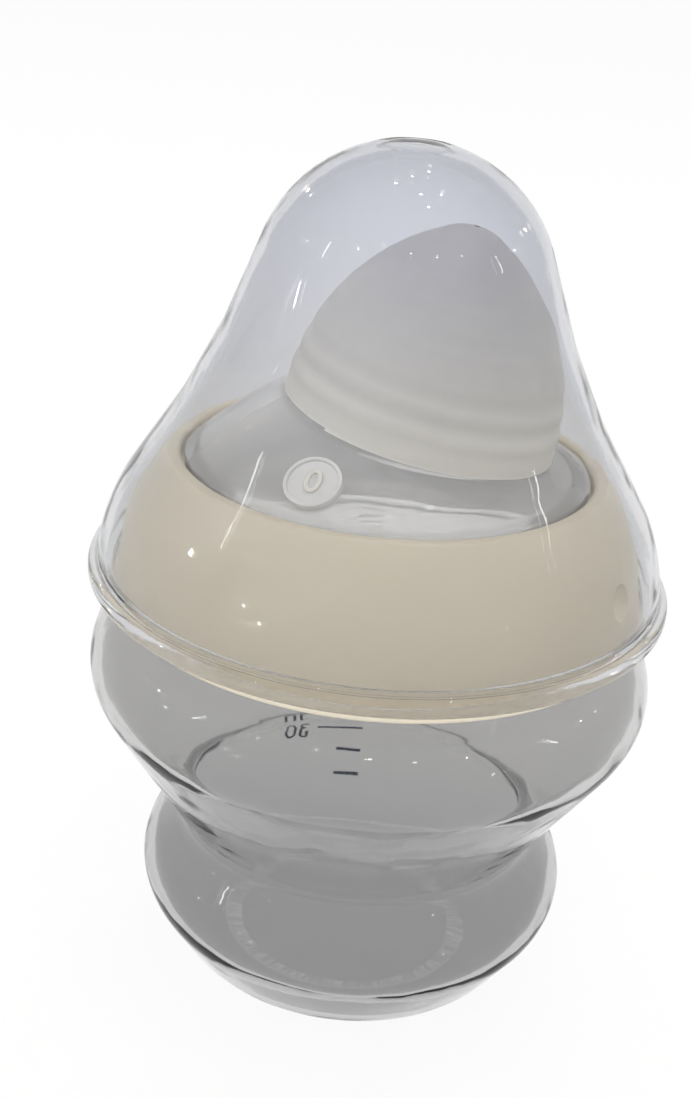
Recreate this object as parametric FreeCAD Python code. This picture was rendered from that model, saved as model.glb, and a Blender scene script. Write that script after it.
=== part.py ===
"""Baby bottle: clear body, screw ring, soft teat and clear hood. Millimetres, standing on z = 0."""
import FreeCAD
import Part
import math
import os
from collections import namedtuple

Vector = FreeCAD.Vector

# Bottle body
BOTTLE_WALL = 1.5
PUSH_UP = 1.7
PUSH_UP_ARC = 64.0
STAND_IN_R = 15.5
STAND_EDGE_ARC = 2.5
STAND_OUT_R = 18.0
BASE_CORNER_ARC = 9.5
BULGE_R = 30.3
BULGE_Z = 13.4
WAIST_R = 25.6
WAIST_ABOVE_BULGE = 9.0
SHOULDER_R = 38.0
SHOULDER_ABOVE_WAIST = 23.6
SHOULDER_ARC = 8.9
WAIST_SOFTNESS = 0.9
BULGE_SHARE = 0.7
NECK_R = 29.4
NECK_ROOT_ABOVE_SHOULDER = 11.5
NECK_ROOT_ARC = 1.6
NECK_LENGTH = 12.0

# Teat
FLANGE_T = 2.0
FLANGE_OVERHANG = 0.2
THROAT_WALL = 1.6
SKIRT_WALL = 1.8
SKIRT_SLOPE = 31.8
BEAD_T = 1.5
DOME_R = 17.7
DOME_H = 24.7
DOME_WALL = 1.6
DOME_NOSE_ARC = 7.4
DOME_OFFSET = 3.6
DOME_ABOVE_BEAD = 5.9
DOME_LEAN = 10.5
PAD_R = 3.5
PAD_RISE = 0.35
PAD_RIM_W = 0.5
PAD_RIM_RISE = 0.35
PAD_DOWN_SLOPE = 3.9
PAD_ANGLE = 245.0

# Screw ring
THREAD_ROOM = 1.8
SEAT_ROOM = 0.6
SEAT_DEPTH = 3.3
SHOULDER_GAP = 0.5
LIP_REACH = 4.0
LIP_T = 1.8
EDGE_RISE = 2.0
EDGE_WALL = 1.7
BAND_WALL = 3.5
BAND_BULGE = 1.3
FOOT_OUT = 1.0
FOOT_T = 2.0
RING_ROUND = 0.6
DIMPLE_R = 2.3
DIMPLE_DEPTH = 1.0
DIMPLE_ABOVE_FOOT = 6.8
DIMPLE_ANGLE = 332.0

# Hood
HOOD_WALL = 1.3
HOOD_H = 56.5
CROWN_ARC = 19.1
SKIRT_ARC = 25.0
FLARE_ARC = 105.0
RIM_OUT = 1.0
RIM_T = 2.4
RIM_ROUND = 1.0

# Clearances
SLIP_GAP = 0.3
BEAD_GAP = 0.4
HOOD_BAND_GAP = 1.3

# Heights and radii that follow from the sizes above
WAIST_Z = BULGE_Z + WAIST_ABOVE_BULGE
SHOULDER_Z = WAIST_Z + SHOULDER_ABOVE_WAIST
NECK_ROOT_Z = SHOULDER_Z + NECK_ROOT_ABOVE_SHOULDER
RIM_Z = NECK_ROOT_Z + NECK_LENGTH
LIP_Z = RIM_Z + FLANGE_T
LIP_TOP_Z = LIP_Z + LIP_T
RING_TOP_Z = LIP_TOP_Z + EDGE_RISE
RING_Z = NECK_ROOT_Z - NECK_ROOT_ARC + SHOULDER_GAP
FOOT_TOP_Z = RING_Z + FOOT_T
FLANGE_R = NECK_R + FLANGE_OVERHANG
SEAT_R = NECK_R + SEAT_ROOM
THREAD_BORE_R = NECK_R + THREAD_ROOM
BAND_R = THREAD_BORE_R + BAND_WALL
LIP_R = NECK_R - LIP_REACH
BEAD_R = LIP_R + BEAD_GAP + SLIP_GAP
OPENING_R = BEAD_R + BEAD_GAP
THROAT_R = LIP_R - SLIP_GAP
BEAD_Z = LIP_TOP_Z + SLIP_GAP
BEAD_TOP_Z = BEAD_Z + BEAD_T
HOOD_R = BAND_R + HOOD_BAND_GAP + HOOD_WALL

Roller = namedtuple("Roller", "r z turn")


def point(r, z):
    """Point of a profile, drawn in the plane y = 0, with the axis met exactly."""
    return Vector(round(r, 9), 0, round(z, 9))


def bend(r, z, lean, arc):
    """Arc of a wall that passes (r, z) leaning inwards by `lean` degrees, hollow if `arc` is negative."""
    lean = math.radians(lean)
    return Roller(r - arc * math.cos(lean), z - arc * math.sin(lean), arc)


def corner(r, z):
    """Sharp end of a wall."""
    return Roller(r, z, 0.0)


def between(low, high, arc):
    """Hollow arc that touches two round bends of one wall, the lower one first."""
    gap_r, gap_z = high.r - low.r, high.z - low.z
    gap = math.hypot(gap_r, gap_z)
    reach_low, reach_high = low.turn + arc, high.turn + arc
    along = (reach_low**2 - reach_high**2 + gap**2) / (2 * gap)
    aside = math.sqrt(reach_low**2 - along**2)
    r = low.r + (along * gap_r + aside * gap_z) / gap
    z = low.z + (along * gap_z - aside * gap_r) / gap
    return Roller(r, z, -arc)


def touch(roller, heading, inset):
    """Point where a wall with this heading touches a bend, moved inwards by `inset`."""
    turn = roller.turn - inset
    return point(roller.r + turn * math.sin(heading), roller.z - turn * math.cos(heading))


def wall_line(rollers, first, last, inset):
    """Edges of a wall that runs round its bends in turn, with its first and last headings in degrees."""
    headings = [math.radians(first)]
    for here, there in zip(rollers, rollers[1:]):
        gap_r, gap_z = there.r - here.r, there.z - here.z
        swing = (there.turn - here.turn) / math.hypot(gap_r, gap_z)
        heading = math.atan2(gap_z, gap_r) - math.asin(max(-1.0, min(1.0, swing)))
        headings.append(headings[-1] + math.remainder(heading - headings[-1], 2 * math.pi))
    headings.append(math.radians(last))
    edges = []
    place = touch(rollers[0], headings[0], inset)
    for roller, before, after in zip(rollers, headings, headings[1:]):
        arrive = touch(roller, before, inset)
        middle = touch(roller, (before + after) / 2, inset)
        leave = touch(roller, after, inset)
        if arrive.distanceToPoint(place) > 1e-6:
            edges.append(Part.LineSegment(place, arrive).toShape())
        place = arrive
        if roller.turn and leave.distanceToPoint(arrive) > 1e-6:
            edges.append(Part.Arc(arrive, middle, leave).toShape())
            place = leave
    return edges, touch(rollers[0], headings[0], inset), place


def revolve(edges):
    """Solid of revolution about +Z from the edges of a closed section."""
    face = Part.Face(Part.Wire(Part.sortEdges(edges)[0]))
    return face.revolve(Vector(0, 0, 0), Vector(0, 0, 1), 360)


def shell(rollers, first, last, wall):
    """Revolved wall of even thickness, its outer side running round the bends."""
    outer, outer_start, outer_end = wall_line(rollers, first, last, 0.0)
    inner, inner_start, inner_end = wall_line(rollers, first, last, wall)
    start = Part.LineSegment(outer_start, inner_start).toShape()
    end = Part.LineSegment(outer_end, inner_end).toShape()
    return revolve(outer + inner + [start, end])


def turned(*corners):
    """Revolved solid from the corners of its section, given as (r, z)."""
    points = [point(r, z) for r, z in corners]
    return revolve([Part.LineSegment(a, b).toShape() for a, b in zip(points, points[1:] + points[:1])])


def rounded(solid, radius, *circles):
    """Solid with its edges at the given circles, each (r, z), rounded."""
    picked = []
    for edge in solid.Edges:
        box = edge.BoundBox
        for r, z in circles:
            if abs(box.XMax - r) < 1e-4 and abs(box.ZMin - z) < 1e-4 and abs(box.ZMax - z) < 1e-4:
                picked.append(edge)
    return solid.makeFillet(radius, picked)


def make_bottle():
    """Clear hourglass body with a pushed-up base and a plain neck."""
    swing = (BULGE_R - WAIST_R)**2 + WAIST_ABOVE_BULGE**2
    arcs = WAIST_SOFTNESS * swing / (2 * (BULGE_R - WAIST_R))
    bulge_arc = BULGE_SHARE * arcs
    waist_arc = arcs - bulge_arc
    wall = [
        bend(0, PUSH_UP, -90, -PUSH_UP_ARC),
        bend(STAND_IN_R, 0, -90, STAND_EDGE_ARC),
        bend(STAND_OUT_R, 0, -90, BASE_CORNER_ARC),
        bend(BULGE_R, BULGE_Z, 0, bulge_arc),
        bend(WAIST_R, WAIST_Z, 0, -waist_arc),
        bend(SHOULDER_R, SHOULDER_Z, 0, SHOULDER_ARC),
        bend(NECK_R, NECK_ROOT_Z, 0, -NECK_ROOT_ARC),
        corner(NECK_R, RIM_Z),
    ]
    return shell(wall, 0, 90, BOTTLE_WALL)


def dome(inset):
    """Round-nosed dome of the teat on its leaning axis, with a straight root that sinks into the skirt."""
    radius, height, nose = DOME_R - inset, DOME_H - inset, DOME_NOSE_ARC - inset
    flank = (radius**2 + (height - nose)**2 - nose**2) / (2 * (radius - nose))
    root = DOME_R * math.sin(math.radians(DOME_LEAN)) + DOME_ABOVE_BEAD / 2
    wall = [corner(radius, -root), bend(radius, 0, 0, flank), bend(0, height, 90, nose)]
    edges, start, end = wall_line(wall, 90, 180, 0.0)
    foot = point(0, -root)
    edges += [Part.LineSegment(foot, start).toShape(), Part.LineSegment(end, foot).toShape()]
    solid = revolve(edges)
    solid.rotate(Vector(0, 0, 0), Vector(0, 1, 0), DOME_LEAN)
    solid.translate(Vector(DOME_OFFSET, 0, BEAD_TOP_Z + DOME_ABOVE_BEAD))
    return solid


def flow_pad():
    """Round pad with a raised rim, square to the skirt."""
    slope = math.radians(SKIRT_SLOPE)
    pad = Part.makeCylinder(PAD_R, PAD_RISE + SKIRT_WALL / 2, Vector(0, 0, -SKIRT_WALL / 2))
    rim = Part.makeCylinder(PAD_R, PAD_RISE + PAD_RIM_RISE + SKIRT_WALL / 2, Vector(0, 0, -SKIRT_WALL / 2))
    well = Part.makeCylinder(PAD_R - PAD_RIM_W, PAD_RIM_RISE, Vector(0, 0, PAD_RISE))
    pad = pad.fuse(rim.cut(well))
    pad.rotate(Vector(0, 0, 0), Vector(0, 1, 0), SKIRT_SLOPE)
    pad.translate(point(BEAD_R - PAD_DOWN_SLOPE, BEAD_TOP_Z + PAD_DOWN_SLOPE * math.tan(slope)))
    pad.rotate(Vector(0, 0, 0), Vector(0, 0, 1), PAD_ANGLE)
    return pad


def make_teat():
    """Hollow silicone teat: flange, throat through the ring, skirt and leaning dome."""
    rise = math.tan(math.radians(SKIRT_SLOPE))
    drop = SKIRT_WALL / math.cos(math.radians(SKIRT_SLOPE))
    throat_in_r = THROAT_R - THROAT_WALL
    peak_r = DOME_R - DOME_OFFSET - DOME_WALL * 2
    peak_z = BEAD_TOP_Z + (BEAD_R - peak_r) * rise
    outer = turned((0, RIM_Z), (FLANGE_R, RIM_Z), (FLANGE_R, LIP_Z), (THROAT_R, LIP_Z), (THROAT_R, BEAD_Z),
                   (BEAD_R, BEAD_Z), (BEAD_R, BEAD_TOP_Z), (peak_r, peak_z), (0, peak_z))
    shelf_z = BEAD_TOP_Z + (BEAD_R - throat_in_r) * rise - drop
    inner = turned((0, RIM_Z - FLANGE_T), (throat_in_r, RIM_Z - FLANGE_T), (throat_in_r, shelf_z),
                   (peak_r, peak_z - drop), (0, peak_z - drop))
    outer = outer.fuse([dome(0.0), flow_pad()])
    inner = inner.fuse(dome(DOME_WALL))
    return outer.cut(inner).removeSplitter()


def make_screw_ring():
    """Screw collar: foot lip for the hood, bulging band, top edge and inner lip over the teat's flange."""
    foot_r = BAND_R + FOOT_OUT
    edge_r = OPENING_R + EDGE_WALL
    low, high = point(BAND_R, FOOT_TOP_Z), point(edge_r, RING_TOP_Z)
    out = (high - low).cross(Vector(0, 1, 0)).normalize()
    belly = (low + high) / 2 - out * BAND_BULGE
    section = [(edge_r, RING_TOP_Z), (OPENING_R, RING_TOP_Z), (OPENING_R, LIP_TOP_Z), (LIP_R, LIP_TOP_Z),
               (LIP_R, LIP_Z), (SEAT_R, LIP_Z), (SEAT_R, LIP_Z - SEAT_DEPTH),
               (THREAD_BORE_R, LIP_Z - SEAT_DEPTH), (THREAD_BORE_R, RING_Z), (foot_r, RING_Z),
               (foot_r, FOOT_TOP_Z), (BAND_R, FOOT_TOP_Z)]
    points = [point(r, z) for r, z in section]
    edges = [Part.LineSegment(a, b).toShape() for a, b in zip(points, points[1:])]
    edges.append(Part.Arc(low, belly, high).toShape())
    ring = revolve(edges)
    ring = rounded(ring, RING_ROUND, (edge_r, RING_TOP_Z), (OPENING_R, RING_TOP_Z), (LIP_R, LIP_TOP_Z),
                   (foot_r, RING_Z), (foot_r, FOOT_TOP_Z))
    return ring.cut(dimple(belly.x))


def dimple(band_r):
    """Ball that presses the small round dimple into the band."""
    ball = (DIMPLE_R**2 + DIMPLE_DEPTH**2) / (2 * DIMPLE_DEPTH)
    tool = Part.makeSphere(ball, point(band_r + ball - DIMPLE_DEPTH, FOOT_TOP_Z + DIMPLE_ABOVE_FOOT))
    tool.rotate(Vector(0, 0, 0), Vector(0, 0, 1), DIMPLE_ANGLE)
    return tool


def make_hood():
    """Clear bell with a round crown, hollow flare and a rolled rim that sits on the ring's foot."""
    skirt = bend(HOOD_R, FOOT_TOP_Z, 0, SKIRT_ARC)
    crown = bend(0, FOOT_TOP_Z + HOOD_H, 90, CROWN_ARC)
    bell = shell([skirt, between(skirt, crown, FLARE_ARC), crown], 90, 180, HOOD_WALL)
    rim_in, rim_out, rim_top = BAND_R + SLIP_GAP, HOOD_R + RIM_OUT, FOOT_TOP_Z + RIM_T
    rim = turned((rim_in, FOOT_TOP_Z), (rim_out, FOOT_TOP_Z), (rim_out, rim_top), (rim_in, rim_top))
    rim = rounded(rim, RIM_ROUND, (rim_out, FOOT_TOP_Z), (rim_out, rim_top))
    return bell.fuse(rim).removeSplitter()


def main():
    """Build the pieces and write each to its own file."""
    os.makedirs("parts", exist_ok=True)
    pieces = {"bottle": make_bottle, "teat": make_teat, "screw_ring": make_screw_ring, "hood": make_hood}
    for name, make in pieces.items():
        solid = make()
        solid.exportStep("parts/" + name + ".step")
        print(name, solid.isValid(), len(solid.Solids), round(solid.Volume), solid.optimalBoundingBox())


main()
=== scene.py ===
"""Dressed model of a baby bottle: clear body, cream screw ring, silicone teat and clear hood."""

import logging
import math
from collections.abc import Callable
from dataclasses import dataclass
from enum import Enum

import bpy
from mathutils import Matrix, Vector

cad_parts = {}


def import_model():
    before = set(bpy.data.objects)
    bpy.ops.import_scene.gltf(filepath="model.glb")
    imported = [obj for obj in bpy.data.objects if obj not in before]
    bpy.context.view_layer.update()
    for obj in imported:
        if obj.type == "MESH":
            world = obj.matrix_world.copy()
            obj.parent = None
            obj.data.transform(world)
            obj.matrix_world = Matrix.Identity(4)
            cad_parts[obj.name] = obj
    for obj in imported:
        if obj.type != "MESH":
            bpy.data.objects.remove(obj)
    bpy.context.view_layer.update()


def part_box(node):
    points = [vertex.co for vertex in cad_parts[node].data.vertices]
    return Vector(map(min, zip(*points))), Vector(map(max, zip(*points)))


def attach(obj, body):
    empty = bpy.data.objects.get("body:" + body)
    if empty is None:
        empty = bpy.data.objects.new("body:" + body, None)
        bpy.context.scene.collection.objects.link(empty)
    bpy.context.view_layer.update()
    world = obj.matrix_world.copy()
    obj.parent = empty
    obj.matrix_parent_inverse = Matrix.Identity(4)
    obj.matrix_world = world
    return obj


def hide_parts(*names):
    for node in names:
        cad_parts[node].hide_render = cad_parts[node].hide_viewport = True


log = logging.getLogger("baby_bottle")

MM = 0.001
SPIN_STEPS = 144
ARC_STEP = math.radians(6.0)
CREASE = math.radians(32.0)
MERGE = 1e-6
ML_PER_M3 = 1e6
NOISE_DARK = 0.3
NOISE_LIGHT = 0.7
THIN_WALL_IOR = 1.22
THREAD_LEAD = 4.0 * MM
THREAD_SINK = 0.1 * MM
THREAD_ROOT_HALF = 0.8 * MM
THREAD_CREST_HALF = 0.4 * MM
RUN_OUT_TURNS = 0.125
RUN_OUT_LEAST = 0.04

Point = tuple[float, float]
Place = tuple[float, float, float]
Outline = list[Point]
Colour = tuple[float, float, float]


class Rides(Enum):
    """Bodies that the pieces move with."""

    BODY = "body"
    TEAT = "teat"
    RING = "ring"
    HOOD = "hood"


@dataclass(frozen=True)
class Bend:
    """Arc in the section of a wall; its turn is negative where the wall is hollow.

    Args:
        r: Distance of the arc's centre from the axis.
        z: Height of the arc's centre.
        turn: Radius of the arc.
    """

    r: float
    z: float
    turn: float


def bend(r: float, z: float, lean: float, arc: float) -> Bend:
    """Arc of a wall through a point.

    Args:
        r: Distance of the point from the axis.
        z: Height of the point.
        lean: Degrees that the wall leans inwards there.
        arc: Radius, negative for a hollow.

    Returns:
        The bend whose arc passes the point.
    """
    slant = math.radians(lean)
    return Bend(r - arc * math.cos(slant), z - arc * math.sin(slant), arc)


def bend_between(low: Bend, high: Bend, arc: float) -> Bend:
    """Hollow arc that touches two round bends of one wall.

    Args:
        low: Lower bend.
        high: Upper bend.
        arc: Radius of the hollow.

    Returns:
        The hollow bend.
    """
    gap_r, gap_z = high.r - low.r, high.z - low.z
    gap = math.hypot(gap_r, gap_z)
    reach_low, reach_high = low.turn + arc, high.turn + arc
    along = (reach_low**2 - reach_high**2 + gap**2) / (2 * gap)
    aside = math.sqrt(reach_low**2 - along**2)
    r = low.r + (along * gap_r + aside * gap_z) / gap
    z = low.z + (along * gap_z - aside * gap_r) / gap
    return Bend(r, z, -arc)


def wall_outline(bends: list[Bend], first: float, last: float, inset: float) -> Outline:
    """Section line of a wall that runs round its bends in turn.

    Args:
        bends: Bends from the start of the wall to its end.
        first: Heading in degrees at the start.
        last: Heading in degrees at the end.
        inset: Depth of the line under the outer side.

    Returns:
        Points of the line, close together on the arcs.
    """
    headings = [math.radians(first)]
    for here, there in zip(bends, bends[1:]):
        gap_r, gap_z = there.r - here.r, there.z - here.z
        swing = (there.turn - here.turn) / math.hypot(gap_r, gap_z)
        heading = math.atan2(gap_z, gap_r) - math.asin(max(-1.0, min(1.0, swing)))
        headings.append(headings[-1] + math.remainder(heading - headings[-1], 2 * math.pi))
    headings.append(math.radians(last))
    points: Outline = []
    for item, before, after in zip(bends, headings, headings[1:]):
        turn = item.turn - inset
        steps = max(1, math.ceil(abs(after - before) / ARC_STEP)) if item.turn else 0
        for k in range(steps + 1):
            heading = before + (after - before) * (k / steps if steps else 0.0)
            points.append((item.r + turn * math.sin(heading), item.z - turn * math.cos(heading)))
    return points


def soft_corners(corners: list[tuple[float, float, float]], closed: bool) -> Outline:
    """Section line through corners, each rounded by its own radius.

    Args:
        corners: (r, z, rounding) of each corner in turn.
        closed: Whether the line returns to its first corner.

    Returns:
        Points of the line, with the first point again at the end of a closed one.
    """
    points: Outline = []
    count = len(corners)
    for k, (r, z, radius) in enumerate(corners):
        here = Vector((r, z))
        if radius <= 0 or (not closed and k in (0, count - 1)):
            points.append((r, z))
            continue
        back = Vector(corners[k - 1][:2]) - here
        ahead = Vector(corners[(k + 1) % count][:2]) - here
        half = back.angle(ahead) / 2
        cut = radius / math.tan(half)
        start, end = here + back.normalized() * cut, here + ahead.normalized() * cut
        centre = here + (back.normalized() + ahead.normalized()).normalized() * (radius / math.sin(half))
        steps = max(2, math.ceil((math.pi - 2 * half) / (2 * ARC_STEP)))
        for step in range(steps + 1):
            ray = (start - centre).lerp(end - centre, step / steps).normalized() * radius
            points.append((centre.x + ray.x, centre.y + ray.y))
    if closed:
        points.append(points[0])
    return points


def line_radius(line: Outline, z: float) -> float:
    """Distance from the axis of a rising line at one height.

    Args:
        line: Section line.
        z: Height.

    Returns:
        The radius, from the last stretch of the line that passes the height.
    """
    found = line[-1][0]
    for (r0, z0), (r1, z1) in zip(line, line[1:]):
        if z0 <= z < z1:
            found = r0 + (r1 - r0) * (z - z0) / (z1 - z0)
    return found


def finer(line: Outline, step: float) -> Outline:
    """Line with more points on its long stretches.

    Args:
        line: Section line.
        step: Longest stretch that may stay.

    Returns:
        The same line in short stretches.
    """
    points: Outline = []
    for (r0, z0), (r1, z1) in zip(line, line[1:]):
        count = max(1, math.ceil(math.hypot(r1 - r0, z1 - z0) / step))
        points += [(r0 + (r1 - r0) * k / count, z0 + (z1 - z0) * k / count) for k in range(count)]
    return points + [line[-1]]


def pick_only(obj: bpy.types.Object) -> None:
    """Make one object the only one selected, and active.

    Args:
        obj: Object to pick.
    """
    bpy.ops.object.select_all(action="DESELECT")
    obj.select_set(True)
    bpy.context.view_layer.objects.active = obj


def draw_line(name: str, line: Outline) -> bpy.types.Object:
    """Section line as a mesh, drawn by extruding one vertex along it.

    Args:
        name: Name of the new object.
        line: Points of the line as (r, z).

    Returns:
        The object, left in edit mode with its line selected.
    """
    bpy.ops.object.select_all(action="DESELECT")
    bpy.ops.mesh.primitive_plane_add(size=MM)
    obj = bpy.context.object
    obj.name = name
    bpy.ops.object.mode_set(mode="EDIT")
    bpy.ops.mesh.select_all(action="SELECT")
    bpy.ops.mesh.merge(type="CENTER")
    bpy.ops.transform.translate(value=(line[0][0], 0.0, line[0][1]))
    for (r0, z0), (r1, z1) in zip(line, line[1:]):
        bpy.ops.mesh.extrude_region_move(TRANSFORM_OT_translate={"value": (r1 - r0, 0.0, z1 - z0)})
    bpy.ops.mesh.select_all(action="SELECT")
    return obj


def lathe(name: str, line: Outline) -> bpy.types.Object:
    """Piece turned from its section line.

    Args:
        name: Name of the new object.
        line: Closed section, or one that starts and ends on the axis.

    Returns:
        The turned object, smooth, in object mode.
    """
    obj = draw_line(name, line)
    bpy.ops.mesh.spin(steps=SPIN_STEPS, angle=2 * math.pi, center=(0, 0, 0), axis=(0, 0, 1))
    bpy.ops.mesh.select_all(action="SELECT")
    bpy.ops.mesh.remove_doubles(threshold=MERGE)
    bpy.ops.mesh.normals_make_consistent(inside=False)
    bpy.ops.object.mode_set(mode="OBJECT")
    smooth(obj)
    return obj


def smooth(obj: bpy.types.Object) -> None:
    """Smooth shading with creases kept."""
    pick_only(obj)
    bpy.ops.object.shade_smooth_by_angle(angle=CREASE)


def apply_modifier(obj: bpy.types.Object, kind: str, **settings: object) -> None:
    """Add a modifier with its settings and apply it.

    Args:
        obj: Object to change.
        kind: Modifier type.
        settings: Properties of the modifier.
    """
    pick_only(obj)
    modifier = obj.modifiers.new(kind.title(), kind)
    for key, value in settings.items():
        setattr(modifier, key, value)
    bpy.ops.object.modifier_apply(modifier=modifier.name)


def move_points(obj: bpy.types.Object, rule: Callable[[Vector], Vector]) -> None:
    """Move every vertex of a mesh by one rule.

    Args:
        obj: Object whose mesh is moved.
        rule: New place of a vertex from its old one.
    """
    for vertex in obj.data.vertices:
        vertex.co = rule(vertex.co.copy())
    obj.data.update()


def text_mesh(text: str, size: float, **settings: object) -> bpy.types.Object:
    """Text made a mesh, flat in the XY plane with its middle on the X axis.

    Args:
        text: What it says.
        size: Size of the type.
        settings: Other properties of the text.

    Returns:
        The mesh object.
    """
    bpy.ops.object.select_all(action="DESELECT")
    bpy.ops.object.text_add()
    obj = bpy.context.object
    obj.data.body = text
    obj.data.size = size
    obj.data.align_y = "CENTER"
    for key, value in settings.items():
        setattr(obj.data, key, value)
    bpy.ops.object.convert(target="MESH")
    return obj


def thread_ridge(name: str, root_r: float, crest_r: float, start_z: float, turns: float) -> bpy.types.Object:
    """Right-hand screw ridge with run-outs at both ends.

    Args:
        name: Name of the new object.
        root_r: Radius where the ridge leaves its wall.
        crest_r: Radius of its crest.
        start_z: Height of its lower end.
        turns: Length in turns.

    Returns:
        The ridge.
    """
    corners = [(root_r, -THREAD_ROOT_HALF), (crest_r, -THREAD_CREST_HALF),
               (crest_r, THREAD_CREST_HALF), (root_r, THREAD_ROOT_HALF)]
    obj = draw_line(name, [(r, start_z + z) for r, z in corners + corners[:1]])
    bpy.ops.mesh.remove_doubles(threshold=MERGE)
    bpy.ops.object.mode_set(mode="OBJECT")
    steps = round(SPIN_STEPS * turns)
    apply_modifier(obj, "SCREW", angle=2 * math.pi * turns, screw_offset=THREAD_LEAD * turns, steps=steps,
                   render_steps=steps, use_merge_vertices=False)
    bpy.ops.object.mode_set(mode="EDIT")
    bpy.ops.mesh.select_all(action="SELECT")
    bpy.ops.mesh.fill_holes(sides=0)
    bpy.ops.mesh.select_all(action="SELECT")
    bpy.ops.mesh.normals_make_consistent(inside=False)
    bpy.ops.object.mode_set(mode="OBJECT")

    def run_out(co: Vector) -> Vector:
        """Sink the ridge into its wall at both ends.

        Args:
            co: Point of the full ridge.

        Returns:
            The point on the ridge with its run-outs.
        """
        around = math.atan2(co.y, co.x) / (2 * math.pi)
        along = around + round((co.z - start_z) / THREAD_LEAD - around)
        from_end = min(along, turns - along)
        height = max(RUN_OUT_LEAST, min(1.0, from_end / RUN_OUT_TURNS + RUN_OUT_LEAST))
        radius = math.hypot(co.x, co.y)
        scale = (root_r + (radius - root_r) * height) / radius
        return Vector((co.x * scale, co.y * scale, co.z))

    move_points(obj, run_out)
    smooth(obj)
    return obj


class NodeSketch:
    """Node tree of one material, filled in by short calls."""

    def __init__(self, name: str) -> None:
        """Start a material with an empty tree.

        Args:
            name: Name of the material.
        """
        self.material = bpy.data.materials.new(name)
        self.material.use_nodes = True
        self.tree = self.material.node_tree
        self.tree.nodes.clear()
        self.output = self.tree.nodes.new("ShaderNodeOutputMaterial")

    def add(self, kind: str, inputs: dict[str | int, object] | None = None,
            **settings: object) -> bpy.types.Node:
        """New node.

        Args:
            kind: Node type without its ShaderNode prefix.
            inputs: Socket name or number to a plain value or to the output socket that feeds it.
            settings: Properties of the node.

        Returns:
            The node.
        """
        node = self.tree.nodes.new("ShaderNode" + kind)
        for key, value in settings.items():
            setattr(node, key, value)
        for key, value in (inputs or {}).items():
            if isinstance(value, bpy.types.NodeSocket):
                self.tree.links.new(value, node.inputs[key])
            else:
                node.inputs[key].default_value = value
        return node

    def place(self) -> bpy.types.NodeSocket:
        """Object coordinates of the piece."""
        return self.add("TexCoord").outputs["Object"]

    def grain(self, scale: float, low: float, high: float) -> bpy.types.NodeSocket:
        """Soft noise between two values.

        Args:
            scale: Noise cells in a metre.
            low: Value in the dark of the noise.
            high: Value in its light.

        Returns:
            The value socket.
        """
        noise = self.add("TexNoise", {"Vector": self.place(), "Scale": scale})
        spread = self.add("MapRange", {"Value": noise.outputs["Fac"], "From Min": NOISE_DARK,
                                       "From Max": NOISE_LIGHT, "To Min": low, "To Max": high})
        return spread.outputs["Result"]

    def climb(self, start: float, end: float) -> bpy.types.NodeSocket:
        """Value from 0 at one height of the piece to 1 at another.

        Args:
            start: Height of the 0.
            end: Height of the 1.

        Returns:
            The value socket.
        """
        height = self.add("SeparateXYZ", {"Vector": self.place()}).outputs["Z"]
        return self.add("MapRange", {"Value": height, "From Min": start, "From Max": end}).outputs["Result"]

    def tone(self, factor: bpy.types.NodeSocket, dark: Colour, light: Colour) -> bpy.types.NodeSocket:
        """Colour between two tones.

        Args:
            factor: Value from 0 to 1.
            dark: Tone at 0.
            light: Tone at 1.

        Returns:
            The colour socket.
        """
        ramp = self.add("ValToRGB", {"Fac": factor})
        ramp.color_ramp.elements[0].color = (*dark, 1.0)
        ramp.color_ramp.elements[1].color = (*light, 1.0)
        return ramp.outputs["Color"]

    def blend(self, factor: bpy.types.NodeSocket, first: bpy.types.NodeSocket,
              second: Colour) -> bpy.types.NodeSocket:
        """Mix of a colour socket and a plain colour.

        Args:
            factor: Share of the second colour.
            first: Colour at 0.
            second: Colour at 1.

        Returns:
            The colour socket.
        """
        mix = self.add("MixRGB", {"Fac": factor, "Color1": first, "Color2": (*second, 1.0)})
        return mix.outputs["Color"]

    def ripple(self, scale: float, depth: float, strength: float) -> bpy.types.NodeSocket:
        """Normal of a surface that is not quite even.

        Args:
            scale: Noise cells in a metre.
            depth: Height of the unevenness in metres.
            strength: Share of it that shows.

        Returns:
            The normal socket.
        """
        height = self.grain(scale, 0.0, 1.0)
        bump = self.add("Bump", {"Height": height, "Distance": depth, "Strength": strength})
        return bump.outputs["Normal"]

    def either(self, factor: bpy.types.NodeSocket, first: bpy.types.NodeSocket,
               second: bpy.types.NodeSocket) -> bpy.types.NodeSocket:
        """Mix of two shaders.

        Args:
            factor: Share of the second shader.
            first: Shader at 0.
            second: Shader at 1.

        Returns:
            The shader socket.
        """
        return self.add("MixShader", {"Fac": factor, 1: first, 2: second}).outputs["Shader"]

    def shade(self, shader: bpy.types.NodeSocket) -> bpy.types.Material:
        """Send a shader to the surface and hand over the material."""
        self.tree.links.new(shader, self.output.inputs["Surface"])
        return self.material


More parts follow.
